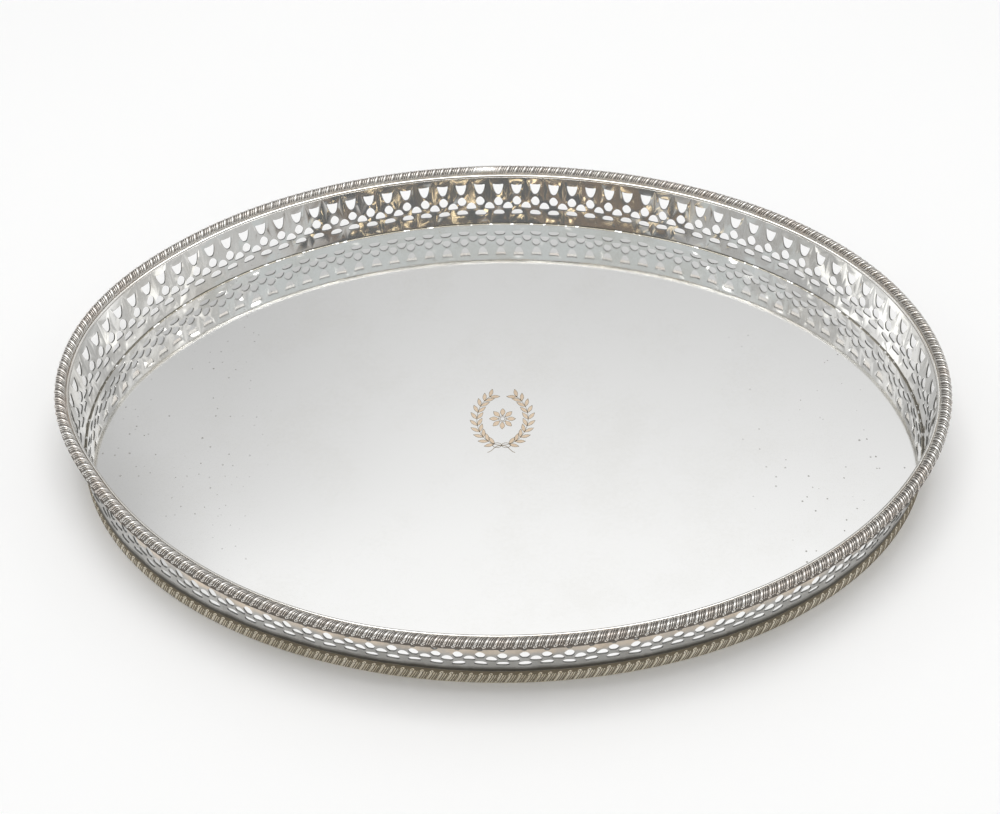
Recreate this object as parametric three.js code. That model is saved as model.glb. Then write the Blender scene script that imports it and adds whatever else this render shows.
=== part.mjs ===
// Oval gallery tray: a flat plate, a pierced upright gallery, a gadroon border on the gallery's top
// edge with a plain lip inside it, and a gadroon foot ring backed by a plain collar.
// Millimetres, +Z up, +X along the tray. The origin is under the tray's middle, on the surface that
// the foot stands on. The gadroon borders are modelled as the plain bars that their lobes fill.
import * as THREE from 'three';
import { mergeVertices } from 'three/addons/utils/BufferGeometryUtils.js';

// ---- driving dimensions ----
const HALF_LENGTH = 243;          // gallery's inner face at the plate, half of the long axis
const HALF_WIDTH = 164.3;         // the same, half of the short axis
const FOOT_HEIGHT = 12;           // from the table to the plate's top face
const PLATE_THICKNESS = 1.2;
const PLATE_OVERHANG = 0.9;       // how far the plate reaches past the gallery's inner face
const GALLERY_HEIGHT = 37.5;      // from the plate to the gallery's top edge
const GALLERY_THICKNESS = 0.9;
const FLARE = 0.093;              // outward lean of the gallery, per unit of height
const PITCH_COUNT = 112;          // repeats of the piercing around the whole tray
const JOINT_GAP = 0.3;            // clearance between neighbouring pieces

// Places where the wall has been bent out of true. Middle and reaches in pitches; push is how far the
// gallery's top edge is moved outward there, in mm.
const BENDS = [
  { middle: 52.5, before: 8, after: 5, push: 1.8 },
  { middle: 63, before: 7.5, after: 16.5, push: -7.2 },
  { middle: 104, before: 14, after: 10, push: -2.8 },
];

// Piercing, on the flat strip: heights above the plate, sizes in mm
const SHIELD = { bottom: 23.6, top: 32.0, width: 6.4 };
const DROP = { bottom: 14.9, top: 22.1, width: 5.4 };
const DOME = { bottom: 12.1, top: 17.6, width: 6.3 };
const LENS = { bottom: 7.4, top: 11.5, width: 7.1 };

// Outlines of the holes, clockwise: across from -1 to 1, up from 0 to 1
const SHIELD_OUTLINE = [[-1, 1], [1, 1], [0.8, 0.45], [0.3, 0], [-0.3, 0], [-0.8, 0.45]];
const DROP_OUTLINE = [[0, 1], [1, 0.5], [0.5, 0], [-0.5, 0], [-1, 0.5]];
const LENS_OUTLINE = [[-0.55, 1], [0.55, 1], [1, 0.4], [0.75, 0], [-0.75, 0], [-1, 0.4]];
const DOME_SIDE = [[0, 0], [0.9, 0.15], [0.65, 0.75], [0, 1]];

// Sections: [outward from the gallery's inner face at the plate, up from the plate's top face]
const LIP_SECTION = [[1.9, 37.8], [4.35, 37.8], [4.35, 39.7], [3.2, 39.7], [1.9, 39.0]];
const RIM_SECTION = [
  [4.7, 36.6], [9.6, 36.6], [11.1, 38.2], [10.4, 40.6], [8.2, 42.3], [6.0, 41.6], [4.7, 39.8],
];
const FOOT_TOP = -PLATE_THICKNESS - JOINT_GAP;
const FOOT_SECTION = [
  [-2.6, -FOOT_HEIGHT], [0.9, -FOOT_HEIGHT], [0.9, -10.7], [1.3, -8.2], [1.3, -4.6], [0.3, FOOT_TOP],
  [-2.6, FOOT_TOP],
];
const COLLAR_SECTION = [
  [-4.1, -FOOT_HEIGHT], [-2.9, -FOOT_HEIGHT], [-2.9, FOOT_TOP], [-4.1, FOOT_TOP],
];

// Joints, in pitches counter-clockwise from the right-hand end of the long axis
const QUARTER = PITCH_COUNT / 4;
const GALLERY_JOINTS = { right: -16, back: 15, left: 40, front: 71 };
const GALLERY_PITCHES = { right: 31, back: 25, left: 31, front: 25 };
const QUARTER_NAMES = ['back_right', 'back_left', 'front_left', 'front_right'];
const LIP_JOINT = 14;
const FOOT_STEP = 2;               // pitches per facet of the foot ring and its collar

// ---- the oval ----
const ARC_STEPS = 5600;
const arcLength = [0];
for (let i = 1; i <= ARC_STEPS; i++) {
  const middle = ((i - 0.5) / ARC_STEPS) * 2 * Math.PI;
  const speed = Math.hypot(HALF_LENGTH * Math.sin(middle), HALF_WIDTH * Math.cos(middle));
  arcLength.push(arcLength[i - 1] + (speed * 2 * Math.PI) / ARC_STEPS);
}
const PERIMETER = arcLength[ARC_STEPS];
const PITCH = PERIMETER / PITCH_COUNT;

// Angle parameter of the oval at a distance around it, given in pitches.
function angleAt(pitches) {
  const turns = Math.floor(pitches / PITCH_COUNT);
  const target = (pitches / PITCH_COUNT - turns) * PERIMETER;
  let low = 0;
  let high = ARC_STEPS;
  while (high - low > 1) {
    const middle = (low + high) >> 1;
    if (arcLength[middle] <= target) low = middle;
    else high = middle;
  }
  const part = (target - arcLength[low]) / (arcLength[high] - arcLength[low]);
  return (turns + (low + part) / ARC_STEPS) * 2 * Math.PI;
}

// How far the gallery's top edge is bent outward at a place around the oval.
function bentBy(pitches) {
  return BENDS.reduce((sum, { middle, before, after, push }) => {
    const turns = Math.round((pitches - middle) / PITCH_COUNT);
    const away = pitches - middle - turns * PITCH_COUNT;
    const share = Math.min(1, Math.abs(away) / (away < 0 ? before : after));
    return sum + (push * (1 + Math.cos(Math.PI * share))) / 2;
  }, 0);
}

// Point at a place around the oval, moved outward square to it and up from the plate's top face. Above
// the plate it moves with the bent wall.
function place(pitches, outward, up) {
  const angle = angleAt(pitches);
  const normal = new THREE.Vector2(HALF_WIDTH * Math.cos(angle), HALF_LENGTH * Math.sin(angle)).normalize();
  const moved = outward + (bentBy(pitches) * Math.max(0, up)) / GALLERY_HEIGHT;
  return new THREE.Vector3(
    HALF_LENGTH * Math.cos(angle) + normal.x * moved,
    HALF_WIDTH * Math.sin(angle) + normal.y * moved,
    FOOT_HEIGHT + up,
  );
}

function solidFromTriangles(points) {
  const geometry = new THREE.BufferGeometry().setFromPoints(points);
  return mergeVertices(geometry, 1e-4);
}

// Evenly spaced stations from one joint to the next, half a joint gap short of each end.
function stationsBetween(start, count, step) {
  const trim = JOINT_GAP / 2 / PITCH;
  const stations = [];
  for (let i = 0; i <= count; i += step) stations.push(start + i);
  stations[0] += trim;
  stations[stations.length - 1] -= trim;
  return stations;
}

// ---- a bar of constant section that follows the oval; the section runs counter-clockwise ----
function sweptBar(section, stations) {
  const rings = stations.map((at) => section.map(([outward, up]) => place(at, outward, up)));
  const points = [];
  for (let j = 0; j + 1 < rings.length; j++) {
    for (let i = 0; i < section.length; i++) {
      const k = (i + 1) % section.length;
      points.push(rings[j][i], rings[j + 1][i], rings[j][k]);
      points.push(rings[j][k], rings[j + 1][i], rings[j + 1][k]);
    }
  }
  const flat = section.map(([outward, up]) => new THREE.Vector2(outward, up));
  const first = rings[0];
  const last = rings[rings.length - 1];
  for (const [a, b, c] of THREE.ShapeUtils.triangulateShape(flat, [])) {
    points.push(first[a], first[b], first[c]);
    points.push(last[a], last[c], last[b]);
  }
  return solidFromTriangles(points);
}

// ---- the pierced strip ----
// One pitch of the strip, flat: x runs in pitches, y in mm up from the plate. The half-domes at the two
// sides make whole holes with the neighbouring pitches.
function onePitch() {
  const cut = (hole, centre, side, points) => points.map(([across, up]) => [
    centre + (side * across * hole.width) / 2 / PITCH,
    hole.bottom + up * (hole.top - hole.bottom),
  ]);
  const outline = [
    [0, JOINT_GAP],
    [1, JOINT_GAP],
    ...cut(DOME, 1, -1, DOME_SIDE),
    [1, GALLERY_HEIGHT],
    [0, GALLERY_HEIGHT],
    ...cut(DOME, 0, 1, DOME_SIDE).reverse(),
  ];
  const holes = [
    cut(SHIELD, 0.5, 1, SHIELD_OUTLINE),
    cut(DROP, 0.5, 1, DROP_OUTLINE),
    cut(LENS, 0.5, 1, LENS_OUTLINE),
  ];
  return { outline, holes };
}

function piercedStrip(start, count) {
  const trim = JOINT_GAP / 2 / PITCH;
  const stretch = (count - 2 * trim) / count;
  const bend = (cell, [x, up], thickness) =>
    place(start + trim + (cell + x) * stretch, FLARE * up + thickness, up);
  const { outline, holes } = onePitch();
  const toVectors = (loop) => loop.map(([x, up]) => new THREE.Vector2(x, up));
  const faces = THREE.ShapeUtils.triangulateShape(toVectors(outline), holes.map(toVectors));
  const corners = [outline, ...holes].flat();
  const points = [];

  const edge = (cell, a, b) => {
    const outerA = bend(cell, a, GALLERY_THICKNESS);
    const outerB = bend(cell, b, GALLERY_THICKNESS);
    const innerA = bend(cell, a, 0);
    const innerB = bend(cell, b, 0);
    points.push(outerA, innerA, outerB, outerB, innerA, innerB);
  };
  for (let cell = 0; cell < count; cell++) {
    for (const [a, b, c] of faces) {
      const outer = [a, b, c].map((i) => bend(cell, corners[i], GALLERY_THICKNESS));
      const inner = [a, c, b].map((i) => bend(cell, corners[i], 0));
      points.push(...outer, ...inner);
    }
    for (const loop of [outline, ...holes]) {
      loop.forEach((a, i) => {
        const b = loop[(i + 1) % loop.length];
        const onSide = a[0] === b[0] && (a[0] === 0 || a[0] === 1);
        const atEnd = (cell === 0 && a[0] === 0) || (cell === count - 1 && a[0] === 1);
        if (!onSide || atEnd) edge(cell, a, b);
      });
    }
  }
  return solidFromTriangles(points);
}

// ---- the plate ----
function ovalPlate() {
  const outline = [];
  for (let i = 0; i < PITCH_COUNT; i++) {
    const { x, y } = place(i, PLATE_OVERHANG, 0);
    outline.push(new THREE.Vector2(x, y));
  }
  const plate = new THREE.ExtrudeGeometry(new THREE.Shape(outline), {
    depth: PLATE_THICKNESS, bevelEnabled: false,
  });
  plate.translate(0, 0, FOOT_HEIGHT - PLATE_THICKNESS);
  plate.deleteAttribute('normal');
  plate.deleteAttribute('uv');
  return mergeVertices(plate, 1e-4);
}

// ---- assembly ----
const polishedSilver = { color: 0xdcdcd8, metalness: 1, roughness: 0.08 };
const wornSilver = { color: 0xb9b2a8, metalness: 1, roughness: 0.25 };
const darkSilver = { color: 0x8f897c, metalness: 1, roughness: 0.35 };

const tray = new THREE.Group();

function addPiece(name, geometry, finish) {
  const mesh = new THREE.Mesh(geometry, new THREE.MeshStandardMaterial({ ...finish, flatShading: true }));
  mesh.name = name;
  tray.add(mesh);
}

addPiece('tray_plate', ovalPlate(), polishedSilver);

for (const [side, start] of Object.entries(GALLERY_JOINTS)) {
  addPiece(`gallery_${side}`, piercedStrip(start, GALLERY_PITCHES[side]), polishedSilver);
}

QUARTER_NAMES.forEach((quarter, i) => {
  const rimStations = stationsBetween(i * QUARTER, QUARTER, 1);
  const footStations = stationsBetween(i * QUARTER, QUARTER, FOOT_STEP);
  addPiece(`rim_gadroon_${quarter}`, sweptBar(RIM_SECTION, rimStations), wornSilver);
  addPiece(`foot_gadroon_${quarter}`, sweptBar(FOOT_SECTION, footStations), darkSilver);
});

['back', 'front'].forEach((side, i) => {
  const lipStart = LIP_JOINT + i * 2 * QUARTER;
  const lipStations = stationsBetween(lipStart, 2 * QUARTER, 1);
  addPiece(`rim_lip_${side}`, sweptBar(LIP_SECTION, lipStations), polishedSilver);
  const collarStations = stationsBetween(i * 2 * QUARTER, 2 * QUARTER, FOOT_STEP);
  addPiece(`foot_collar_${side}`, sweptBar(COLLAR_SECTION, collarStations), darkSilver);
});

export default tray;
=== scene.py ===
"""Oval silver gallery tray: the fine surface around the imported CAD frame.

The plate, the pierced gallery and its solder, the plain lip, the two gadroon borders, the foot collar and
the engraved ornament are built as fine meshes on the same oval as the CAD model. Sizes in this script are
millimetres unless a name says otherwise; place() turns them into metres.
"""
import math

import bpy
import numpy as np
from mathutils import Matrix, Vector
from mathutils.geometry import delaunay_2d_cdt


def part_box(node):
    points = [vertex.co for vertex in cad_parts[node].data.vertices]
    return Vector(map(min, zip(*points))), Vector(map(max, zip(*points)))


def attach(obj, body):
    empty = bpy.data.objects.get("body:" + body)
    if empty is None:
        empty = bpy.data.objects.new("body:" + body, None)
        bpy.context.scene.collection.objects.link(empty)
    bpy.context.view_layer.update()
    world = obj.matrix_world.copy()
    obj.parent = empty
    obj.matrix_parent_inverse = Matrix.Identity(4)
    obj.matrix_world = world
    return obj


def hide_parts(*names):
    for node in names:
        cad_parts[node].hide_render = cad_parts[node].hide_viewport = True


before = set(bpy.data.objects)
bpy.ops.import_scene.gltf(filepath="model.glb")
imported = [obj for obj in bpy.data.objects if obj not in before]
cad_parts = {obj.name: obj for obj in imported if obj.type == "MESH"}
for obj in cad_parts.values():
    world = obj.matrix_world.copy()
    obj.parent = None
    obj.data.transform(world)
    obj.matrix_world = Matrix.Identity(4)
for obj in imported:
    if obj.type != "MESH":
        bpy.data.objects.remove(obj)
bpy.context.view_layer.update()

MM = 0.001
TINY = 1e-6

# ---- sizes ----
PLATE_OVERHANG = 0.9            # the CAD plate reaches this far past the gallery's inner face
PITCHES = 112                   # repeats of the piercing round the tray
FLARE = 0.093                   # outward lean of the gallery, per unit of height
GALLERY_THICKNESS = 0.9
GALLERY_TOP = 37.74             # above the plate, where the lip sits on it
QUARTER = PITCHES / 4
SLIT = 0.05                     # hairline left between neighbouring pieces

plate_low, plate_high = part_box("tray_plate")
HALF_LENGTH = plate_high.x / MM - PLATE_OVERHANG
HALF_WIDTH = plate_high.y / MM - PLATE_OVERHANG
PLATE_TOP = plate_high.z / MM
PLATE_THICKNESS = (plate_high.z - plate_low.z) / MM

# Joints, in pitches counter-clockwise from the right-hand end of the long axis
GALLERY_STRIPS = {"gallery_right": (-16, 31), "gallery_back": (15, 25),
                  "gallery_left": (40, 31), "gallery_front": (71, 25)}
QUARTER_NAMES = ("back_right", "back_left", "front_left", "front_right")
LIP_JOINT = 14
LIP_NAMES = ("rim_lip_back", "rim_lip_front")
COLLAR_NAMES = ("foot_collar_back", "foot_collar_front")

# Places where the wall has been bent out of true: (middle, reach before, reach after) in pitches, and how
# far its top edge is moved outward there in mm
BENDS = [(52.5, 8, 5, 1.8), (63, 7.5, 16.5, -7.2), (104, 14, 10, -2.8)]
BEND_HEIGHT = 37.5              # above the plate, where the push is reached


# ---- the oval ----
ARC_STEPS = 11200
oval_angles = np.linspace(0, 2 * math.pi, ARC_STEPS + 1)
step_middles = (oval_angles[1:] + oval_angles[:-1]) / 2
step_speeds = np.hypot(HALF_LENGTH * np.sin(step_middles), HALF_WIDTH * np.cos(step_middles))
oval_lengths = np.concatenate([[0], np.cumsum(step_speeds) * 2 * math.pi / ARC_STEPS])
PERIMETER = oval_lengths[-1]
PITCH = PERIMETER / PITCHES


def bent_by(pitches):
    """How far the wall's top edge is bent outward at a place round the oval, in mm."""
    total = np.zeros_like(pitches, dtype=float)
    for middle, before, after, push in BENDS:
        away = (pitches - middle + PITCHES / 2) % PITCHES - PITCHES / 2
        share = np.minimum(1, np.abs(away) / np.where(away < 0, before, after))
        total += push * (1 + np.cos(math.pi * share)) / 2
    return total


def place(pitches, outward, up):
    """Points in metres: a place round the oval, moved outward square to it and up from the plate's top."""
    pitches, outward, up = np.broadcast_arrays(pitches, outward, up)
    outward = outward + bent_by(pitches) * np.maximum(0, up) / BEND_HEIGHT
    turns = np.floor(pitches / PITCHES)
    angle = np.interp((pitches / PITCHES - turns) * PERIMETER, oval_lengths, oval_angles)
    nx, ny = HALF_WIDTH * np.cos(angle), HALF_LENGTH * np.sin(angle)
    size = np.hypot(nx, ny)
    x = HALF_LENGTH * np.cos(angle) + nx / size * outward
    y = HALF_WIDTH * np.sin(angle) + ny / size * outward
    return np.stack([x, y, up + PLATE_TOP], axis=-1) * MM


# ---- mesh helpers ----
def make_piece(name, points, faces, material, slot, replaces=(), sharp_angle=35, values=None):
    """A named object from points and faces, ridden on the root body."""
    mesh = bpy.data.meshes.new(name)
    mesh.from_pydata(np.asarray(points, float).reshape(-1, 3).tolist(), [], faces)
    mesh.validate()
    mesh.shade_smooth()
    mesh.set_sharp_from_angle(angle=math.radians(sharp_angle))
    for key, numbers in (values or {}).items():
        layer = mesh.attributes.new(key, "FLOAT", "POINT")
        layer.data.foreach_set("value", np.asarray(numbers, np.float32).ravel())
    mesh.materials.append(material)
    piece = bpy.data.objects.new(name, mesh)
    bpy.context.scene.collection.objects.link(piece)
    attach(piece, "root")
    if replaces:
        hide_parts(*replaces)


def tube_faces(rings, around, closed=False):
    """Quads of a tube: rings x around points, with an end cap on each end unless the tube closes.

    They face outward where the section runs counter-clockwise, outward to the right and up.
    """
    faces = []
    steps = rings if closed else rings - 1
    for j in range(steps):
        a, b = j * around, (j + 1) % rings * around
        for i in range(around):
            k = (i + 1) % around
            faces.append((a + i, b + i, b + k, a + k))
    if not closed:
        last = (rings - 1) * around
        faces.append(tuple(range(around)))
        faces.append(tuple(last + i for i in reversed(range(around))))
    return faces


def smoothstep(low, high, x):
    """Rises smoothly from 0 at low to 1 at high."""
    t = np.clip((np.asarray(x, float) - low) / (high - low), 0, 1)
    return t * t * (3 - 2 * t)


def between(p0, p1, p2, p3, t):
    """The place at t, 0 to 1, from p1 to p2 on the smooth curve that runs on from p0 and to p3."""
    return 0.5 * (2 * p1 + (p2 - p0) * t + (2 * p0 - 5 * p1 + 4 * p2 - p3) * t * t
                  + (3 * p1 - p0 - 3 * p2 + p3) * t ** 3)


CURVE_STEPS = 24                # fine steps between two given points of a curve


def curve_through(points, spacing):
    """Points on a smooth curve through the given ones, the curve's unit normals, and the way along it.

    spacing is a number of evenly spaced points, or a list of shares of the curve's length.
    """
    points = np.asarray(points, float)
    ends = np.vstack([2 * points[0] - points[1], points, 2 * points[-1] - points[-2]])
    fine = []
    for i in range(len(points) - 1):
        for t in np.linspace(0, 1, CURVE_STEPS, endpoint=False):
            fine.append(between(*ends[i:i + 4], t))
    fine = np.array(fine + [points[-1]])
    lengths = np.concatenate([[0], np.cumsum(np.hypot(*np.diff(fine, axis=0).T))])
    along = lengths[-1] * (np.linspace(0, 1, spacing) if np.isscalar(spacing) else np.asarray(spacing))
    spots = np.stack([np.interp(along, lengths, fine[:, k]) for k in (0, 1)], axis=1)
    tangents = np.stack([np.interp(along, lengths, np.gradient(fine[:, k], lengths)) for k in (0, 1)], 1)
    tangents /= np.hypot(*tangents.T)[:, None]
    return spots, np.stack([-tangents[:, 1], tangents[:, 0]], axis=1), along


# ---- materials ----
# Noise scales of the worn silver, in waves per metre
FILM_SCALE = 22
MOTTLE_SCALE = 420
COPPER_SCALE = 60
POLISH_SCALE = 1500
DENT_SCALE = 900
DENT_DEPTH = 0.0002             # in metres


class Nodes:
    """A short way to write node trees."""

    def __init__(self, tree):
        self.tree = tree
        tree.nodes.clear()

    def add(self, kind, inputs=None, **settings):
        """A new node. Each input is given a plain value or the socket that feeds it."""
        node = self.tree.nodes.new(kind)
        for key, value in settings.items():
            setattr(node, key, value)
        for key, value in (inputs or {}).items():
            socket = node.inputs[key]
            if isinstance(value, bpy.types.NodeSocket):
                self.tree.links.new(value, socket)
            else:
                socket.default_value = value
        return node

    def math(self, operation, a, b=0.0, c=0.0, clamp=False):
        node = self.add("ShaderNodeMath", {0: a, 1: b, 2: c}, operation=operation, use_clamp=clamp)
        return node.outputs[0]

    def ramp(self, value, stops, smooth=False):
        """A grey level for a value from 0 to 1, between stops of (value, level)."""
        node = self.add("ShaderNodeValToRGB", {"Fac": value})
        node.color_ramp.interpolation = "EASE" if smooth else "LINEAR"
        elements = node.color_ramp.elements
        while len(elements) < len(stops):
            elements.new(0.5)
        for element, (spot, level) in zip(elements, stops):
            element.position = spot
            element.color = (level, level, level, 1)
        return node.outputs["Color"]

    def mix(self, factor, a, b, blend="MIX"):
        """The colour a where the factor is 0, and b blended with it where the factor is 1."""
        node = self.add("ShaderNodeMix", {"Factor": factor}, data_type="RGBA", blend_type=blend)
        for socket, value in ((node.inputs[6], a), (node.inputs[7], b)):
            if isinstance(value, bpy.types.NodeSocket):
                self.tree.links.new(value, socket)
            else:
                socket.default_value = (*value, 1)
        return node.outputs[2]

    def product(self, a, b):
        return self.math("MULTIPLY", a, b)

    def attribute(self, name):
        return self.add("ShaderNodeAttribute", attribute_name=name).outputs["Fac"]

    def noise(self, vector, scale, detail=3.0, roughness=0.5):
        node = self.add("ShaderNodeTexNoise",
                        {"Vector": vector, "Scale": scale, "Detail": detail, "Roughness": roughness})
        return node.outputs["Fac"]


def silver(name, clean, stained, stain_share, roughness, grooves=None, bump=0.02, copper=None, extra=None):
    """Worn silver plate: clean metal, a broken film of tarnish, uneven polish, stained grooves and painted
    shade.

    copper is the colour that shows where the silver is rubbed thin. extra(n, where, colour, rough) may add
    more to the colour and the roughness, and returns both.
    """
    material = bpy.data.materials.new(name)
    material.use_nodes = True
    n = Nodes(material.node_tree)
    where = n.add("ShaderNodeTexCoord").outputs["Object"]
    broad = n.noise(where, FILM_SCALE, 4, 0.6)
    fine = n.noise(where, MOTTLE_SCALE, 5, 0.65)
    film = n.ramp(n.math("ADD", n.product(broad, 0.7), n.product(fine, 0.3)),
                  [(0.5 - 0.25 * stain_share, 0), (0.72, stain_share)], smooth=True)
    colour = n.mix(film, clean, stained)
    rough = n.math("MULTIPLY_ADD", film, 0.12, roughness)
    rough = n.math("MULTIPLY_ADD", n.noise(where, POLISH_SCALE, 2, 0.5), roughness * 0.5, rough)
    if copper:
        worn = n.ramp(n.noise(where, COPPER_SCALE, 4, 0.6), [(0.45, 0), (0.65, 0.6)], smooth=True)
        colour = n.mix(worn, colour, copper)
    if grooves:
        # Dark where the crest value is low: tarnish in the grooves, and painted shade at the ends of a border
        crest = n.attribute("crest")
        dirt_and_shade = n.ramp(n.math("MULTIPLY_ADD", fine, 0.3, n.math("SUBTRACT", crest, 0.15)),
                      [(0.1, 1), (0.55, 0)], smooth=True)
        colour = n.mix(dirt_and_shade, colour, grooves)
        rough = n.math("MULTIPLY_ADD", dirt_and_shade, 0.3, rough)
    if extra:
        colour, rough = extra(n, where, colour, rough)
    height = n.noise(where, DENT_SCALE, 4, 0.6)
    normal = n.add("ShaderNodeBump", {"Strength": bump, "Distance": DENT_DEPTH, "Height": height})
    shader = n.add("ShaderNodeBsdfPrincipled", {
        "Base Color": colour, "Metallic": 1.0, "Roughness": rough, "Normal": normal.outputs[0]})
    n.add("ShaderNodeOutputMaterial", {"Surface": shader.outputs[0]})
    return material


PIT_SCALE = 140.0               # places for a tarnish pit, per metre
PIT_SIZE = 0.13                 # radius of the largest, as a share of a place
PIT_STRENGTH = 0.75


def plate_marks(n, where, colour, rough):
    """Tarnish pits towards the two ends, and a brown solder line round the edge."""
    axes = n.add("ShaderNodeSeparateXYZ", {0: where})
    endward = n.ramp(n.product(n.math("ABSOLUTE", axes.outputs[0]), 1 / (HALF_LENGTH * MM)),
                     [(0.5, 0), (0.72, 1)], smooth=True)
    spots = n.add("ShaderNodeTexVoronoi", {"Vector": where, "Scale": PIT_SCALE}, voronoi_dimensions="2D")
    chosen = n.ramp(spots.outputs["Color"], [(0.55, 0), (0.6, 1)])
    size = n.product(n.noise(where, 60, 1), PIT_SIZE)
    pit = n.math("LESS_THAN", spots.outputs["Distance"], size)
    cluster = n.ramp(n.noise(where, 28, 2), [(0.44, 0), (0.5, 1)])
    pits = n.product(n.product(pit, chosen), n.product(endward, cluster))
    colour = n.mix(n.product(pits, PIT_STRENGTH), colour, (0.22, 0.21, 0.19))
    solder = n.ramp(n.math("MULTIPLY_ADD", n.noise(where, 260, 4, 0.6), 0.9, n.attribute("edge")),
                    [(0.95, 0), (1.45, 0.85)], smooth=True)
    colour = n.mix(solder, colour, (0.36, 0.33, 0.26))
    return colour, n.math("MULTIPLY_ADD", n.math("MAXIMUM", solder, pits), 0.35, rough)


DIRT_AND_SHADE_HEIGHT = 8                 # tarnish and painted-shade ramps below count up from the plate's top in these
WARM_BAND_HEIGHT = 50               # the warm band's ramp counts up from the table in these


def gallery_marks(n, where, colour, rough):
    """A rougher outside with painted shade, dark cut edges in the piercing, a tarnish line inside by the
    plate and painted shade low outside, and a warm band under the rim.
    """
    outside = n.attribute("outside")
    # Painted shade: the outer face is darkened for the shadowed floor round the tray that it mirrors
    colour = n.mix(outside, colour, (0.50, 0.495, 0.48))
    rough = n.math("MULTIPLY_ADD", outside, 0.1, rough)
    height = n.add("ShaderNodeSeparateXYZ", {0: where}).outputs[2]
    # Darker low on the wall: a thin tarnish line inside by the plate, and a wider band of painted shade
    # outside
    above = n.math("MULTIPLY_ADD", height, 1 / (DIRT_AND_SHADE_HEIGHT * MM), -PLATE_TOP / DIRT_AND_SHADE_HEIGHT)
    uneven = n.math("MULTIPLY_ADD", n.noise(where, 200, 4, 0.6), 0.16, n.math("SUBTRACT", above, 0.08))
    inner = n.ramp(uneven, [(0.06, 0.8), (0.16, 0)], smooth=True)
    outer = n.ramp(uneven, [(0.3, 1), (0.5, 0.6), (0.8, 0)], smooth=True)
    shade = n.mix(outside, inner, outer)
    dirt_and_shade = n.add("ShaderNodeRGBToBW", {0: shade}).outputs[0]
    colour = n.mix(dirt_and_shade, colour, (0.09, 0.083, 0.067))
    # A warm band in blotches on the outside, below the rim
    ragged = n.math("MULTIPLY_ADD", n.noise(where, 90, 4), 0.14,
                    n.product(height, 1 / (WARM_BAND_HEIGHT * MM)))
    under_rim = n.ramp(ragged, [(0.65, 0), (0.76, 0.95)], smooth=True)
    blotches = n.ramp(n.noise(where, 45, 4, 0.65), [(0.36, 0.35), (0.6, 1)])
    warm = n.product(n.product(under_rim, blotches), outside)
    colour = n.mix(warm, colour, (0.79, 0.67, 0.54))
    cut = n.attribute("cut")
    colour = n.mix(cut, colour, (0.18, 0.18, 0.172))
    return colour, n.math("MULTIPLY_ADD", n.math("MAXIMUM", cut, dirt_and_shade), 0.3, rough)


def solder_marks(n, where, colour, rough):
    """Bare bright spots on the tarnished solder."""
    bare = n.ramp(n.noise(where, 240, 3, 0.6), [(0.56, 0), (0.62, 0.9)])
    return n.mix(bare, colour, (0.93, 0.93, 0.92)), rough


PLATE_SILVER = silver("plate_silver", (0.93, 0.93, 0.92), (0.80, 0.79, 0.75), 0.25, 0.045, bump=0.01,
                      extra=plate_marks)
GALLERY_SILVER = silver("gallery_silver", (0.88, 0.875, 0.86), (0.66, 0.62, 0.54), 0.45, 0.06,
                        extra=gallery_marks)
LIP_SILVER = silver("lip_silver", (0.88, 0.87, 0.84), (0.62, 0.56, 0.48), 0.5, 0.1)
RIM_SILVER = silver("rim_silver", (0.93, 0.915, 0.88), (0.64, 0.59, 0.54), 0.5, 0.2,
                    grooves=(0.18, 0.16, 0.14), copper=(0.84, 0.75, 0.68))
FOOT_SILVER = silver("foot_silver", (0.97, 0.91, 0.79), (0.67, 0.61, 0.48), 0.7, 0.26,
                     grooves=(0.27, 0.235, 0.175))
COLLAR_SILVER = silver("collar_silver", (0.62, 0.59, 0.53), (0.40, 0.36, 0.29), 0.7, 0.25)
ENGRAVED_FILL = silver("engraved_fill", (0.70, 0.58, 0.45), (0.56, 0.44, 0.33), 0.6, 0.45)
ENGRAVED_LINES = silver("engraved_lines", (0.36, 0.32, 0.26), (0.28, 0.23, 0.17), 0.6, 0.4)
SOLDER_SILVER = silver("solder_silver", (0.26, 0.245, 0.21), (0.15, 0.135, 0.105), 0.8, 0.14,
                       extra=solder_marks)


# ---- the plate ----
SOLDER_WIDTH = 1.5
PLATE_INSET = 0.35              # the fine sheet ends this far inside the CAD plate's edge
PLATE_STEPS = PITCHES * 3       # round the tray
PLATE_EDGE_STEPS = 9            # round the half-round edge


def build_plate():
    """A flat sheet with a rounded edge, as rings of points from the middle to the rim and round it."""
    stations = np.linspace(0, PITCHES, PLATE_STEPS, endpoint=False)
    radius = PLATE_THICKNESS / 2
    straight = PLATE_OVERHANG - PLATE_INSET - radius
    bulge = [(straight + radius * math.sin(t), -radius + radius * math.cos(t))
             for t in np.linspace(0, math.pi, PLATE_EDGE_STEPS)]
    section = [(-SOLDER_WIDTH, 0.0), (-SOLDER_WIDTH / 3, 0.0)] + bulge
    points = np.concatenate([place(stations, outward, up) for outward, up in section])
    edge = np.repeat([0.0] + [1.0] * (len(section) - 1), len(stations))
    faces = tube_faces(len(section), len(stations))
    make_piece("tray_plate_sheet", points, faces, PLATE_SILVER, "polished_plate", ["tray_plate"],
               values={"edge": edge})


SOLDER_SECTION = np.array([(-0.8, 0.005), (0.0, 0.005), (0.04, 0.55), (-0.18, 0.34), (-0.42, 0.15),
                           (-0.8, 0.03)])
SOLDER_STEPS = PITCHES * 14
SOLDER_SEED = 7
SOLDER_LEAST = 0.7              # the fillet's smallest size, as a share of its section
SOLDER_LUMPS = 0.25             # the most that each of two neighbouring lumps adds to it


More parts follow.
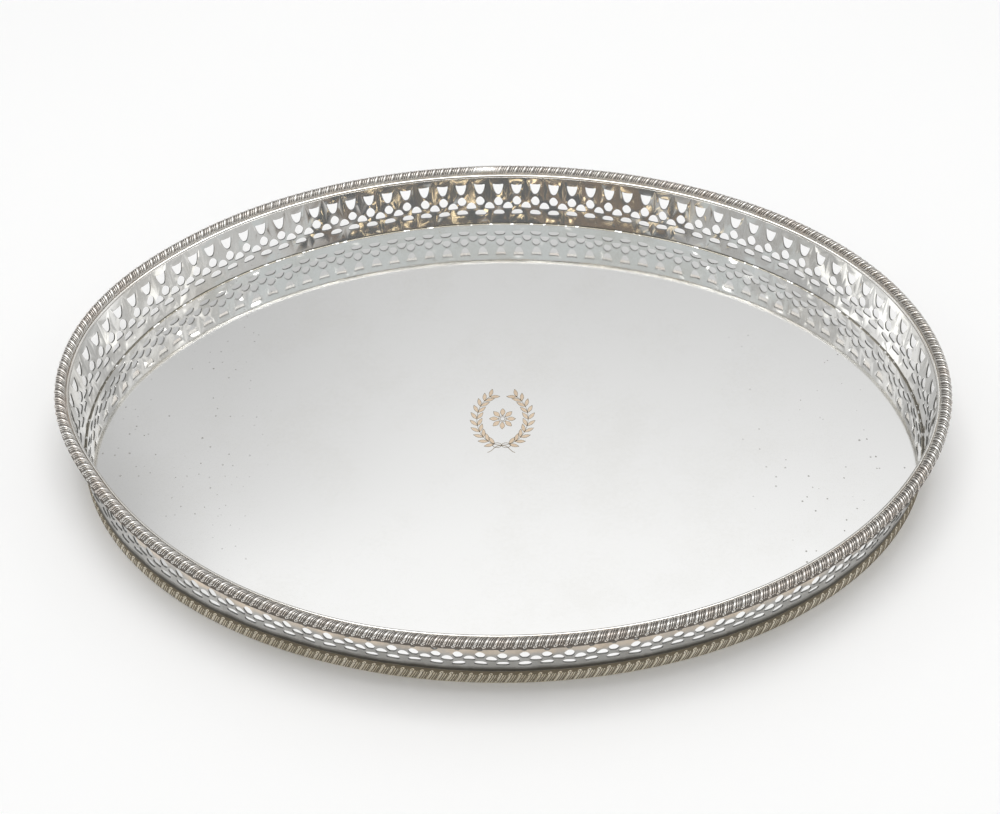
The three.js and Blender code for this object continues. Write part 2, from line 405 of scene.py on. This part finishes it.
def build_solder():
    """A thin, lumpy fillet of solder in the corner between the plate and the wall."""
    lumps = np.random.default_rng(SOLDER_SEED).random(SOLDER_STEPS)
    size = SOLDER_LEAST + SOLDER_LUMPS * (lumps + np.roll(lumps, 1))
    stations = np.arange(SOLDER_STEPS) / SOLDER_STEPS * PITCHES
    outward, up = (SOLDER_SECTION[None] * size[:, None, None]).transpose(2, 0, 1)
    points = place(stations[:, None], outward, up)
    faces = tube_faces(SOLDER_STEPS, len(SOLDER_SECTION), closed=True)
    make_piece("gallery_solder_fillet", points, faces, SOLDER_SILVER, "polished_plate")


# ---- the pierced gallery ----
GALLERY_BOTTOM = 0.02           # above the plate
HOLE_CHAMFER = 0.1
SHIELD = {"bottom": 23.6, "top": 32.0, "width": 6.4}
DROP = {"bottom": 14.9, "top": 22.1, "width": 5.4}
DOME = {"bottom": 12.1, "top": 17.6, "width": 6.3}
LENS = {"bottom": 7.4, "top": 11.5, "width": 7.1}
DOME_MIDDLE = 14.5              # a height inside the dome, about which its points are put in order

# Outlines, counter-clockwise, across from -1 to 1 and up from 0 to 1, smoothed by rounded_loop
SHIELD_OUTLINE = [(-1, 1), (-0.93, 0.66), (-0.68, 0.3), (-0.36, 0.06), (0, 0), (0.36, 0.06),
                  (0.68, 0.3), (0.93, 0.66), (1, 1), (0.5, 0.97), (-0.5, 0.97)]
DROP_OUTLINE = [(-0.9, 0.28), (-0.5, 0.03), (0, 0), (0.5, 0.03), (0.9, 0.28), (1, 0.52), (0.72, 0.8),
                (0.3, 0.97), (0, 1), (-0.3, 0.97), (-0.72, 0.8), (-1, 0.52)]
DOME_OUTLINE = [(-0.7, 0.02), (0, 0), (0.7, 0.02), (0.98, 0.16), (0.92, 0.45), (0.62, 0.8), (0.25, 0.98),
                (0, 1), (-0.25, 0.98), (-0.62, 0.8), (-0.92, 0.45), (-0.98, 0.16)]
LENS_OUTLINE = [(-0.75, 0.04), (0, 0), (0.75, 0.04), (1, 0.32), (0.86, 0.7), (0.5, 0.95), (0, 1),
                (-0.5, 0.95), (-0.86, 0.7), (-1, 0.32)]


def rounded_loop(outline, hole, grow, per_side=3):
    """A closed smooth loop of the outline at the hole's size, grown outward by a little."""
    points = np.array([(x * hole["width"] / 2, hole["bottom"] + y * (hole["top"] - hole["bottom"]))
                       for x, y in outline])
    around = [np.roll(points, -ahead, 0) for ahead in (-1, 0, 1, 2)]
    fine = [between(*around, t) for t in np.arange(per_side) / per_side]
    loop = np.stack(fine, axis=1).reshape(-1, 2)
    tangent = np.roll(loop, -1, 0) - np.roll(loop, 1, 0)
    tangent /= np.hypot(*tangent.T)[:, None]
    return loop + grow * np.stack([tangent[:, 1], -tangent[:, 0]], axis=1)


def cell_rings(grow):
    """Hole loops of one pitch, in mm across from the pitch's left side: three whole, one half a side."""
    centred = [rounded_loop(*hole, grow) + (PITCH / 2, 0)
               for hole in ((SHIELD_OUTLINE, SHIELD), (DROP_OUTLINE, DROP), (LENS_OUTLINE, LENS))]
    dome = rounded_loop(DOME_OUTLINE, DOME, grow)
    right = dome[dome[:, 0] > TINY]
    right = right[np.argsort(np.arctan2(right[:, 1] - DOME_MIDDLE, right[:, 0]))]
    right = np.vstack([[0, DOME["bottom"] - grow], right, [0, DOME["top"] + grow]])
    left = right[::-1] * (-1, 1) + (PITCH, 0)
    return centred, right, left


def inside(loop, spots):
    """Which of the spots lie inside the closed loop."""
    x, y = spots.T
    result = np.zeros(len(spots), bool)
    for (ax, ay), (bx, by) in zip(loop, np.roll(loop, -1, 0)):
        if ay == by:
            continue
        crossing = (ay > y) != (by > y)
        result ^= crossing & (x < (bx - ax) * (y - ay) / (by - ay) + ax)
    return result


# The grid of extra points on the flat metal between the holes
GRID_COLUMNS = 7                # gaps between the columns across one pitch
GRID_ROW = 1.7
GRID_FIRST = 1.6                # from the strip's bottom edge to the first row
GRID_LAST = 0.8                 # at least this far below its top edge
GRID_CLEARANCE = 0.45           # from any outline


def triangulate_cell(low, high):
    """Flat triangles of one pitch between two heights, clear of the holes, and the points they use."""
    holes, right, left = cell_rings(HOLE_CHAMFER)
    outline = np.vstack([[(0, low), (PITCH, low)], left[::-1], [(PITCH, high), (0, high)], right[::-1]])
    loops = [outline] + holes
    columns = np.linspace(0, PITCH, GRID_COLUMNS + 1)[1:-1]
    rows = np.arange(low + GRID_FIRST, high - GRID_LAST, GRID_ROW)
    grid = np.array([(x, y) for x in columns for y in rows])
    keep = inside(outline, grid)
    for loop in holes:
        keep &= ~inside(loop, grid)
    clearance = np.min([np.min(np.hypot(*(grid[:, None] - loop[None]).transpose(2, 0, 1)), axis=1)
                        for loop in loops], axis=0)
    grid = grid[keep & (clearance > GRID_CLEARANCE)]
    points = [Vector(p) for loop in loops for p in loop] + [Vector(p) for p in grid]
    edges, start = [], 0
    for loop in loops:
        edges += [(start + i, start + (i + 1) % len(loop)) for i in range(len(loop))]
        start += len(loop)
    spots, _, faces, *_ = delaunay_2d_cdt(points, edges, [], 0, TINY)
    spots = np.array([tuple(p) for p in spots])
    triangles = np.array([f for f in faces if len(f) == 3])
    centres = spots[triangles].mean(axis=1)
    solid = inside(outline, centres)
    for loop in holes:
        solid &= ~inside(loop, centres)
    triangles = triangles[solid]
    a, b, c = (spots[triangles[:, i]] for i in range(3))
    backwards = np.cross(b - a, c - a) < 0
    triangles[backwards] = triangles[backwards][:, ::-1]
    return spots, triangles


# Shallow waves that piercing and use have left in the wall: waves round the tray, size in mm, start in
# radians, and turn in radians per mm of height
WAVES = ((37, 0.26, 0.4, 0.10), (59, 0.16, 2.3, -0.21), (83, 0.09, 4.1, 0.33), (112, 0.05, 1.0, 0.45))
WAVES_GROW = (0, 7)             # heights between which they set in above the plate
WAVES_FADE = (31, 37)           # and between which they die away below the rim
MERGE_STEPS = 2000              # per mm: points that round to the same step are one point


def waviness(station, up):
    """How far the wall stands out of true, fading to nothing at its top and bottom edges."""
    share = smoothstep(*WAVES_GROW, up) * (1 - smoothstep(*WAVES_FADE, up))
    turn = 2 * math.pi * station / PITCHES
    return share * sum(size * np.sin(count * turn + start + slope * up)
                       for count, size, start, slope in WAVES)


class Shell:
    """Collects blocks of points, their values and their triangles, and merges points that meet."""

    def __init__(self):
        self.points, self.faces, self.values, self.size = [], [], [], 0

    def add(self, block, faces, *values):
        block = block.reshape(-1, 3)
        self.points.append(block)
        self.faces.append(np.asarray(faces) + self.size)
        self.values.append(np.stack([np.broadcast_to(v, len(block)) for v in values], axis=1))
        self.size += len(block)

    def merged(self):
        points = np.concatenate(self.points)
        _, first, inverse = np.unique(np.round(points / MM * MERGE_STEPS).astype(np.int64), axis=0,
                                      return_index=True, return_inverse=True)
        faces = inverse.ravel()[np.concatenate(self.faces)]
        a, b, c = faces.T
        faces = faces[(a != b) & (b != c) & (c != a)]
        return points[first], faces.tolist(), np.concatenate(self.values)[first].T


def halved(quads):
    """The two triangles of every quad."""
    return np.concatenate([quads[:, [0, 1, 2]], quads[:, [0, 2, 3]]])


def build_gallery(name, start, count, flat):
    """One length of the pierced strip, bent to the oval, with a fine chamfer round every hole."""
    spots, triangles = flat
    trim = SLIT / 2 / PITCH
    stretch = (count - 2 * trim) / count
    low, high = spots[:, 1].min(), spots[:, 1].max()
    cells = np.arange(count)[:, None]
    shell = Shell()

    def bend(across, up, depth):
        """depth runs from 0 on the inner face to 1 on the outer one."""
        station = start + trim + (cells + across / PITCH) * stretch
        outward = FLARE * up + depth * GALLERY_THICKNESS + waviness(station, up)
        return place(station, outward, up)

    def each_cell(faces, size):
        return (faces[None] + np.arange(count)[:, None, None] * size).reshape(-1, 3)

    faces = each_cell(triangles, len(spots))
    shell.add(bend(*spots.T, 1.0), faces, 1.0, 0.0)
    shell.add(bend(*spots.T, 0.0), faces[:, ::-1], 0.0, 0.0)

    chamfer = HOLE_CHAMFER / GALLERY_THICKNESS
    profile = ((HOLE_CHAMFER, 1.0), (0.0, 1 - chamfer), (0.0, chamfer), (HOLE_CHAMFER, 0.0))
    levels = [cell_rings(grow) for grow, _ in profile]
    wholes = [([level[0][h] for level in levels], True) for h in range(3)]
    halves = [([level[side] for level in levels], False) for side in (1, 2)]
    for chain, closed in wholes + halves:
        length = len(chain[0])
        block = np.concatenate([bend(*loop.T, d) for loop, (_, d) in zip(chain, profile)], axis=1)
        quads = np.array([(a + i, a + (i + 1) % length, a + length + (i + 1) % length, a + length + i)
                          for a in range(0, 3 * length, length)
                          for i in range(length if closed else length - 1)])
        outside = np.tile(np.repeat([1.0, 1.0, 0.0, 0.0], length), count)
        cut = np.tile(np.repeat([0.0, 1.0, 1.0, 0.0], length), count)
        shell.add(block, each_cell(halved(quads), length * 4), outside, cut)

    for up, flip in ((low, False), (high, True)):
        across = np.unique(np.round(spots[np.isclose(spots[:, 1], up), 0], 6))
        wide = len(across)
        block = np.concatenate([bend(across, up, 1.0), bend(across, up, 0.0)], axis=1)
        quads = np.array([(i, i + wide, i + 1 + wide, i + 1) for i in range(wide - 1)])
        if flip:
            quads = quads[:, ::-1]
        outside = np.tile(np.repeat([1.0, 0.0], wide), count)
        shell.add(block, each_cell(halved(quads), wide * 2), outside, 0.0)

    half = levels[0][1]
    for cell, side, flip in ((0, 0.0, False), (count - 1, PITCH, True)):
        station = start + trim + (cell + side / PITCH) * stretch
        for bottom, top in ((low, half[:, 1].min()), (half[:, 1].max(), high)):
            ups = np.array([bottom, top])
            inner = FLARE * ups + waviness(station, ups)
            block = np.stack([place(station, inner + GALLERY_THICKNESS, ups), place(station, inner, ups)])
            corners = np.array([(0, 1, 3), (0, 3, 2)])
            shell.add(block, corners[:, ::-1] if flip else corners, [1.0, 1.0, 0.0, 0.0], 0.0)

    points, faces, (outside, cut) = shell.merged()
    make_piece(f"{name}_pierced", points, faces, GALLERY_SILVER, "pierced_gallery", [name],
               sharp_angle=30, values={"outside": outside, "cut": cut})


# ---- plain bars: lip and collar ----
def build_bar(name, section, start, count, material, slot, replaces, per_pitch=3, slit=SLIT):
    """A plain bar swept along part of the oval, with half a slit left at each end."""
    trim = slit / 2 / PITCH
    stations = np.linspace(start + trim, start + count - trim, int(count * per_pitch) + 1)
    section = np.asarray(section, float)
    points = place(stations[:, None], section[None, :, 0], section[None, :, 1])
    make_piece(name, points, tube_faces(len(stations), len(section)), material, slot, replaces)


# Sections: [outward from the gallery's inner face at the plate, up from the plate's top face]
LIP_SLIT = 0.4
lip_top, _, _ = curve_through([(4.0, 38.9), (3.85, 39.35), (3.45, 39.45), (3.0, 39.3), (2.6, 38.9),
                               (2.45, 38.4), (2.6, 38.0)], 20)
LIP_SECTION = [(2.9, 37.8), (4.0, 37.8), *lip_top.tolist()]
FOOT_BOTTOM = -PLATE_TOP
COLLAR_SECTION = [(-4.1, FOOT_BOTTOM + 0.1), (-4.0, FOOT_BOTTOM), (-2.9, FOOT_BOTTOM), (-2.9, -1.3),
                  (-4.1, -1.3)]


# ---- gadroon borders ----
# One unit of a border as (width in units, height, steps): a wide lobe, two reeds and a faint one, with gaps
REEDS = ((0.34, 1.0, 8), (0.07, 0.0, 2), (0.17, 0.85, 6), (0.08, 0.0, 2),
         (0.14, 0.7, 5), (0.06, 0.0, 2), (0.08, 0.4, 3), (0.06, 0.0, 1))
ROUNDNESS = 0.75                # below 1 the lobes are flatter on top than a sine
RELIEF = 0.6                    # depth of the relief
RUBBED = ((29.1, 0.8, 0.85),)   # stretches where the relief is worn: middle and reach in pitches, share

# Levels along a border's face, from 0 at the lobes' plain end to 1 past their beads
LEVELS = np.concatenate([[0, 0.02, 0.045, 0.08, 0.12], np.linspace(0.19, 0.63, 7),
                         np.linspace(0.66, 0.94, 13), [0.965, 0.985, 1.0]])
RELIEF_GROWS = (0.01, 0.12)
RELIEF_FADES = (0.965, 1.0)
LOBE_ENDS = (0.65, 0.70)
REED_ENDS = (0.72, 0.78)
BEAD_LEVEL = 0.78
BEAD_REACH = 0.1                # the bead's outer radius, along the face
BEAD_SPREAD = 0.21              # the same, across it, in units
BEAD_HEIGHT = 0.95
BEAD_RING = 0.62                # radius of the ring's crest, as a share of the outer radius
BEAD_RING_WIDTH = 0.25
BEAD_HOLLOW = (0.3, 0.6)        # radii between which the ring's hollow comes up to the reeds
BACK_CREST = 0.7                # how clean the plain rest of the section is
RUBBED_SHINE = 0.6              # how much of the stain is gone where the relief is worn


def unshaded_share():
    """How much each level is left unshaded: painted shade at the plain end and past the beads, in the gaps.
    """
    plain_end = 0.45 + 0.2 * smoothstep(0.04, 0.07, LEVELS) + 0.35 * smoothstep(0.07, 0.16, LEVELS)
    return plain_end * (1 - 0.7 * smoothstep(0.88, 0.93, LEVELS))


def unit_relief():
    """The steps across one unit of a border, and the relief's height at every level of each, 0 to 1."""
    lobe_end = 1 - smoothstep(*LOBE_ENDS, LEVELS)
    reed_end = 1 - smoothstep(*REED_ENDS, LEVELS)
    phases, rises = [], []
    base = 0.0
    bead_middle = REEDS[0][0] / 2
    for index, (width, height, steps) in enumerate(REEDS):
        for k in range(steps):
            phase = base + width * k / steps
            reed = height * math.sin(math.pi * k / steps) ** ROUNDNESS * (reed_end if index else lobe_end)
            away = (phase - bead_middle + 0.5) % 1 - 0.5
            radius = np.hypot(away / BEAD_SPREAD, (LEVELS - BEAD_LEVEL) / BEAD_REACH)
            ring = BEAD_HEIGHT * np.exp(-((radius - BEAD_RING) / BEAD_RING_WIDTH) ** 2)
            hollow = 1 - smoothstep(*BEAD_HOLLOW, radius)
            phases.append(phase)
            rises.append(np.maximum(reed * (1 - hollow), ring))
        base += width
    return phases, np.array(rises)


def gadroon(name, dome, back, units, lean, start, material, slot, replaces):
    """A quarter of a border whose face is a run of slanted units: a wide lobe with a bead, then reeds.

    dome is the section along the lobes' crests, from their plain end to the end with the ring-shaped beads,
    back is the plain rest of the section. lean is the shift along the border per mm of the section. The gaps
    lie to the right of the dome's direction: inward on the rim border, but outward on the foot border.
    """
    spots, normals, along = curve_through(dome, LEVELS)
    fade = smoothstep(*RELIEF_GROWS, LEVELS) * (1 - smoothstep(*RELIEF_FADES, LEVELS))
    # Painted shade: both ends of each border are darkened, in the gaps by the next part or where it turns
    # under
    clean = unshaded_share()
    phases, rises = unit_relief()

    shift = lean * along / PITCH
    behind = np.arange(1, len(back) + 1) / (len(back) + 1)
    offset = np.concatenate([shift, shift[-1] + (shift[0] - shift[-1]) * behind])
    unit = QUARTER / units
    trim = SLIT / 2 / PITCH
    steps = [(u, k) for u in range(units) for k in range(len(phases))] + [(units, 0)]
    rings, crests = [], []
    for u, k in steps:
        station = start + (u + phases[k]) * unit + offset
        station = station + trim * ((u, k) == (0, 0)) - trim * (u == units)
        worn = sum(share * np.exp(-((station[:len(LEVELS)] - middle) / reach) ** 2)
                   for middle, reach, share in RUBBED)
        sink = RELIEF * (1 - rises[k]) * fade * (1 - worn)
        surface = spots - normals * sink[:, None]
        ring = np.vstack([surface, back])
        rings.append(place(station, ring[:, 0], ring[:, 1]))
        crest = clean * (1 - (1 - rises[k]) * fade * (1 - RUBBED_SHINE * worn))
        crests.append(np.concatenate([crest, np.full(len(back), BACK_CREST)]))
    faces = tube_faces(len(rings), len(LEVELS) + len(back))
    make_piece(name, np.array(rings), faces, material, slot, replaces, sharp_angle=60,
               values={"crest": np.array(crests)})


RIM_DOME = [(4.3, 39.3), (4.9, 40.6), (6.4, 41.8), (8.2, 42.25), (9.85, 41.5), (10.8, 39.9), (10.95, 38.4),
            (10.5, 37.0)]
RIM_BACK = [(9.8, 37.0), (7.4, 36.75), (4.9, 36.7), (4.5, 36.9), (4.3, 38.9)]
FOOT_DOME = [(0.75, -10.9), (1.2, -9.6), (1.3, -7.6), (1.2, -5.2), (0.8, -3.4), (0.1, -2.0), (-0.5, -1.4)]
FOOT_BACK = [(-2.7, -1.3), (-2.7, FOOT_BOTTOM), (0.7, FOOT_BOTTOM), (0.88, FOOT_BOTTOM + 0.2),
             (0.88, -11.1)]
RIM_UNITS = 64
FOOT_UNITS = 62
RIM_LEAN = -0.38
FOOT_LEAN = 0.42


# ---- the engraved ornament ----
# Sizes round its own middle, in mm
ORNAMENT_PLACE = (0.6, 4.8)     # from the plate's middle
LINE_TOP = 0.03                 # above the plate
FILL_TOP = 0.02
STROKE_FOOT = 0.002             # strokes stand this far off the plate
LINE = 0.42
BOW_LINE = 0.4
STEM_LINE = 0.35
THIN_LINE = 0.3
FILL_LEAST = 0.15               # width of a leaf's fill at its tips
EYE_RADIUS = 1.5
FLOWER_RADIUS = 2.3
PETALS = 8
PETAL_SIZE = (5.4, 2.8)         # length and breadth
WREATH_WIDE = 15.0              # half the wreath's width and height
WREATH_TALL = 19.5
STEM_SPAN = (-90, 62)           # degrees round the wreath from its right-hand side
LEAF_PAIRS = 10
FIRST_LEAF = -74                # degrees
LEAF_STEP = 14.6                # degrees
LEAF_SPLAY = 0.62               # radians between a leaf and the stem
LEAF_SIZE = (6.2, 2.1)
BOW_SIZE = (2.6, 1.7)           # half the length and height of one loop
TAIL_GAP = 0.4                  # from the bow's knot, sideways and down
TAIL_SIZE = (7.6, 4.2)          # how far a tail runs sideways and down
TAIL_WAVE = (0.9, 5.5)          # its height, and radians along the tail


def ribbon(path, width, up, points, faces, closed=False):
    """Adds a thin flat stroke along a path on the plate."""
    path = np.asarray(path, float)
    before, after = np.roll(path, 1, 0), np.roll(path, -1, 0)
    if not closed:
        before[0], after[-1] = path[0], path[-1]
    tangent = after - before
    tangent /= np.hypot(*tangent.T)[:, None]
    side = np.stack([-tangent[:, 1], tangent[:, 0]], axis=1) * np.asarray(width).reshape(-1, 1) / 2
    offset = len(points)
    for spot, step in zip(path, np.broadcast_to(side, path.shape)):
        for sign, height in ((1, up), (-1, up), (-1, STROKE_FOOT), (1, STROKE_FOOT)):
            x, y = spot + sign * step
            points.append((x * MM, y * MM, (PLATE_TOP + height) * MM))
    faces += [tuple(offset + i for i in face) for face in tube_faces(len(path), 4, closed)]


def build_ornament():
    """A generic laurel wreath round a rosette, with a plain bow, where the plate is engraved."""
    centre = np.array(ORNAMENT_PLACE)
    lines, fills = ([], []), ([], [])

    def draw(path, width, closed=False):
        ribbon(np.asarray(path) + centre, width, LINE_TOP, *lines, closed)

    def circle(radius, width):
        turns = np.linspace(0, 2 * math.pi, 40, endpoint=False)
        draw(radius * np.stack([np.cos(turns), np.sin(turns)], axis=1), width, closed=True)

    def leaf(root, heading, length, breadth):
        """A filled leaf with a line round it."""
        t = np.linspace(0, 1, 11)
        along = np.array((math.cos(heading), math.sin(heading)))
        side = np.array((-along[1], along[0]))
        half = breadth * np.sin(math.pi * t) / 2
        middle = np.asarray(root) + np.outer(length * t, along)
        ribbon(middle + centre, FILL_LEAST + 2 * half, FILL_TOP, *fills)
        for sign in (-1, 1):
            draw(middle + sign * np.outer(half, side), THIN_LINE)

    circle(EYE_RADIUS, LINE)
    circle(FLOWER_RADIUS, THIN_LINE)
    for petal in range(PETALS):
        turn = petal * 2 * math.pi / PETALS
        leaf((FLOWER_RADIUS * math.cos(turn), FLOWER_RADIUS * math.sin(turn)), turn, *PETAL_SIZE)
    for sign in (-1, 1):
        turns = np.radians(np.linspace(*STEM_SPAN, 40))
        stem = np.stack([sign * WREATH_WIDE * np.cos(turns), WREATH_TALL * np.sin(turns)], axis=1)
        draw(stem, STEM_LINE)
        for pair in range(LEAF_PAIRS):
            angle = math.radians(FIRST_LEAF + pair * LEAF_STEP)
            root = (sign * WREATH_WIDE * math.cos(angle), WREATH_TALL * math.sin(angle))
            heading = math.atan2(WREATH_TALL * math.cos(angle), -WREATH_WIDE * sign * math.sin(angle))
            for splay in (-LEAF_SPLAY, LEAF_SPLAY):
                leaf(root, heading + splay, *LEAF_SIZE)
    bow_long, bow_high = BOW_SIZE
    tail_long, tail_drop = TAIL_SIZE
    wave_high, wave_turn = TAIL_WAVE
    t = np.linspace(0, 2 * math.pi, 28, endpoint=False)
    s = np.linspace(0, 1, 14)
    for sign in (-1, 1):
        loop = np.stack([sign * bow_long * (1 - np.cos(t)), -WREATH_TALL + bow_high * np.sin(t)], axis=1)
        draw(loop, BOW_LINE, closed=True)
        tail_up = -WREATH_TALL - TAIL_GAP - tail_drop * s + wave_high * np.sin(wave_turn * s)
        draw(np.stack([sign * (TAIL_GAP + tail_long * s), tail_up], axis=1), LINE)
    make_piece("engraved_ornament_fill", *fills, ENGRAVED_FILL, "polished_plate")
    make_piece("engraved_ornament_lines", *lines, ENGRAVED_LINES, "polished_plate")


# ---- assembly of the tray ----
build_plate()
build_solder()
cell = triangulate_cell(GALLERY_BOTTOM, GALLERY_TOP)
for strip, (strip_start, strip_count) in GALLERY_STRIPS.items():
    build_gallery(strip, strip_start, strip_count, cell)
for side, lip_name in enumerate(LIP_NAMES):
    build_bar(f"{lip_name}_wire", LIP_SECTION, LIP_JOINT + side * 2 * QUARTER, 2 * QUARTER, LIP_SILVER,
              "rim_lip", [lip_name], slit=LIP_SLIT)
for side, collar_name in enumerate(COLLAR_NAMES):
    build_bar(f"{collar_name}_strip", COLLAR_SECTION, side * 2 * QUARTER, 2 * QUARTER, COLLAR_SILVER,
              "foot_collar", [collar_name], 2)
for corner, quarter in enumerate(QUARTER_NAMES):
    gadroon(f"rim_gadroon_{quarter}_lobes", RIM_DOME, RIM_BACK, RIM_UNITS, RIM_LEAN,
            corner * QUARTER, RIM_SILVER, "rim_border", [f"rim_gadroon_{quarter}"])
    gadroon(f"foot_gadroon_{quarter}_lobes", FOOT_DOME, FOOT_BACK, FOOT_UNITS, FOOT_LEAN,
            corner * QUARTER, FOOT_SILVER, "foot_border", [f"foot_gadroon_{quarter}"])
build_ornament()


# ---- floor, light and camera, in metres ----
FLOOR_REACH = 12.0
SOFTBOX_SIZE = (1.3, 0.9)
SOFTBOX_POWER = 12.0
SOFTBOX_PLACE = (0, 0.05, 1.9)


def build_floor():
    """A plain pale floor."""
    material = bpy.data.materials.new("studio_floor")
    material.use_nodes = True
    n = Nodes(material.node_tree)
    where = n.add("ShaderNodeTexCoord").outputs["Object"]
    colour = n.mix(n.noise(where, 3, 2), (0.93, 0.93, 0.93), (0.95, 0.95, 0.95))
    shader = n.add("ShaderNodeBsdfPrincipled", {"Base Color": colour, "Roughness": 0.85})
    n.add("ShaderNodeOutputMaterial", {"Surface": shader.outputs[0]})
    mesh = bpy.data.meshes.new("studio_floor")
    corners = [(x * FLOOR_REACH, y * FLOOR_REACH, 0) for x, y in ((-1, -1), (1, -1), (1, 1), (-1, 1))]
    mesh.from_pydata(corners, [], [(0, 1, 2, 3)])
    mesh.materials.append(material)
    floor = bpy.data.objects.new("studio_floor", mesh)
    bpy.context.scene.collection.objects.link(floor)


def build_world():
    """A white tent whose opening, on the camera's side, is a dim room.

    Heights run from 0 at the horizon to 1 overhead. back_turn runs from 0 at the back to 1 in front, and
    front_turn from 0 in front to 1 at the sides.
    """
    world = bpy.data.worlds.new("studio_tent")
    world.use_nodes = True
    bpy.context.scene.world = world
    n = Nodes(world.node_tree)
    way = n.add("ShaderNodeTexCoord").outputs["Generated"]
    axes = n.add("ShaderNodeSeparateXYZ", {0: way})
    x, y, z = (axes.outputs[i] for i in range(3))
    flat = n.math("SQRT", n.math("ADD", n.product(x, x), n.product(y, y)))
    height = n.math("DIVIDE", n.math("ARCTAN2", z, flat), math.pi / 2, clamp=True)
    back_turn = n.math("DIVIDE", n.math("ABSOLUTE", n.math("ARCTAN2", x, y)), math.pi)
    from_front = n.math("ABSOLUTE", n.math("ARCTAN2", x, n.product(y, -1)))
    front_turn = n.math("DIVIDE", from_front, math.pi / 2, clamp=True)

    # The tent's cloth grows brighter upward, and is a little darker low on the left
    tent = n.ramp(height, [(0.0, 0.18), (0.12, 0.34), (0.22, 0.58), (0.5, 0.64), (0.53, 0.69), (0.567, 0.81),
                           (0.612, 0.97), (0.632, 1.0), (0.7, 1.1), (0.8, 1.5)])
    leftward = n.ramp(n.math("ADD", x, 0.5), [(0.28, 0.83), (0.45, 1)], smooth=True)
    lower = n.ramp(height, [(0.58, 1), (0.625, 0)], smooth=True)
    tent = n.mix(lower, tent, leftward, "MULTIPLY")

    # Cloudy grey cloth at the sides
    beside = n.ramp(back_turn, [(0.10, 0), (0.14, 1), (0.66, 1), (0.72, 0)], smooth=True)
    level = n.ramp(height, [(0.1, 0), (0.2, 1), (0.68, 1), (0.78, 0)], smooth=True)
    patches = n.ramp(n.noise(way, 4.5, 2), [(0.40, 0.48), (0.47, 0.6), (0.54, 0.62), (0.6, 0.9)])
    tent = n.mix(n.product(beside, level), tent, patches)

    # Two bright upright panels on each side
    panel_height = n.ramp(height, [(0.4, 0), (0.44, 0.85), (0.53, 0.85), (0.58, 0)], smooth=True)
    for middle in (0.44, 0.58):
        stops = [(middle - 0.055, 0), (middle - 0.03, 1), (middle + 0.03, 1), (middle + 0.055, 0)]
        panel = n.product(n.ramp(back_turn, stops, smooth=True), panel_height)
        tent = n.mix(panel, tent, (1.5, 1.5, 1.48))

    # A bluish cloth high in front, and under it the opening to a dappled room with a few warm lamps
    high = n.product(n.ramp(front_turn, [(0.5, 1), (0.8, 0)], smooth=True),
                     n.ramp(height, [(0.4, 0), (0.45, 1), (0.7, 1), (0.8, 0)], smooth=True))
    tent = n.mix(high, tent, (0.63, 0.66, 0.67))
    gap = n.product(n.ramp(front_turn, [(0.26, 1), (0.4, 0)], smooth=True),
                    n.ramp(height, [(0.46, 1), (0.52, 0)], smooth=True))
    dapple = n.ramp(n.noise(way, 5.5, 3), [(0.45, 0), (0.6, 1)], smooth=True)
    room = n.mix(dapple, (0.145, 0.15, 0.155), (0.26, 0.215, 0.18))
    lamps = n.ramp(n.noise(way, 11, 1), [(0.64, 0), (0.67, 1)], smooth=True)
    room = n.mix(lamps, room, (2.4, 1.95, 1.25))
    colour = n.mix(gap, tent, room)
    shade = n.add("ShaderNodeBackground", {"Color": colour, "Strength": 1.0})
    n.add("ShaderNodeOutputWorld", {"Surface": shade.outputs[0]})


def build_softbox():
    """One soft light high above the tray."""
    lamp = bpy.data.lights.new("overhead_softbox", "AREA")
    lamp.shape = "RECTANGLE"
    lamp.size, lamp.size_y = SOFTBOX_SIZE
    lamp.energy = SOFTBOX_POWER
    box = bpy.data.objects.new("overhead_softbox", lamp)
    box.location = SOFTBOX_PLACE
    bpy.context.scene.collection.objects.link(box)


CAMERA_ELEVATION = math.radians(51.02)
CAMERA_AZIMUTH = math.radians(-3.77)
CAMERA_ROLL = math.radians(2.76)
CAMERA_DISTANCE = 4.401 * HALF_LENGTH * MM
CAMERA_SLIDE = (0.003 * HALF_LENGTH * MM, -0.0436 * HALF_LENGTH * MM)
FOCAL_LENGTH_MM = 66.08
SENSOR_WIDTH_MM = 36.0


def build_camera():
    """Looks down at the plate's middle, with a small roll and a small slide square to the view."""
    forward = Vector((0, math.cos(CAMERA_ELEVATION), -math.sin(CAMERA_ELEVATION)))
    right = Vector((1, 0, 0))
    upward = right.cross(forward)
    turn = Matrix((right, upward, -forward))
    turn = Matrix.Rotation(CAMERA_ROLL, 3, "Z") @ turn @ Matrix.Rotation(CAMERA_AZIMUTH, 3, "Z")
    spin = turn.transposed()
    data = bpy.data.cameras.new("camera")
    data.lens = FOCAL_LENGTH_MM
    data.sensor_width = SENSOR_WIDTH_MM
    camera = bpy.data.objects.new("camera", data)
    middle = Vector((0, 0, PLATE_TOP * MM))
    camera.location = middle - spin @ Vector((*CAMERA_SLIDE, -CAMERA_DISTANCE))
    camera.rotation_euler = spin.to_euler()
    bpy.context.scene.collection.objects.link(camera)
    bpy.context.scene.camera = camera


build_floor()
build_world()
build_softbox()
build_camera()
bpy.context.scene.view_settings.view_transform = "Standard"
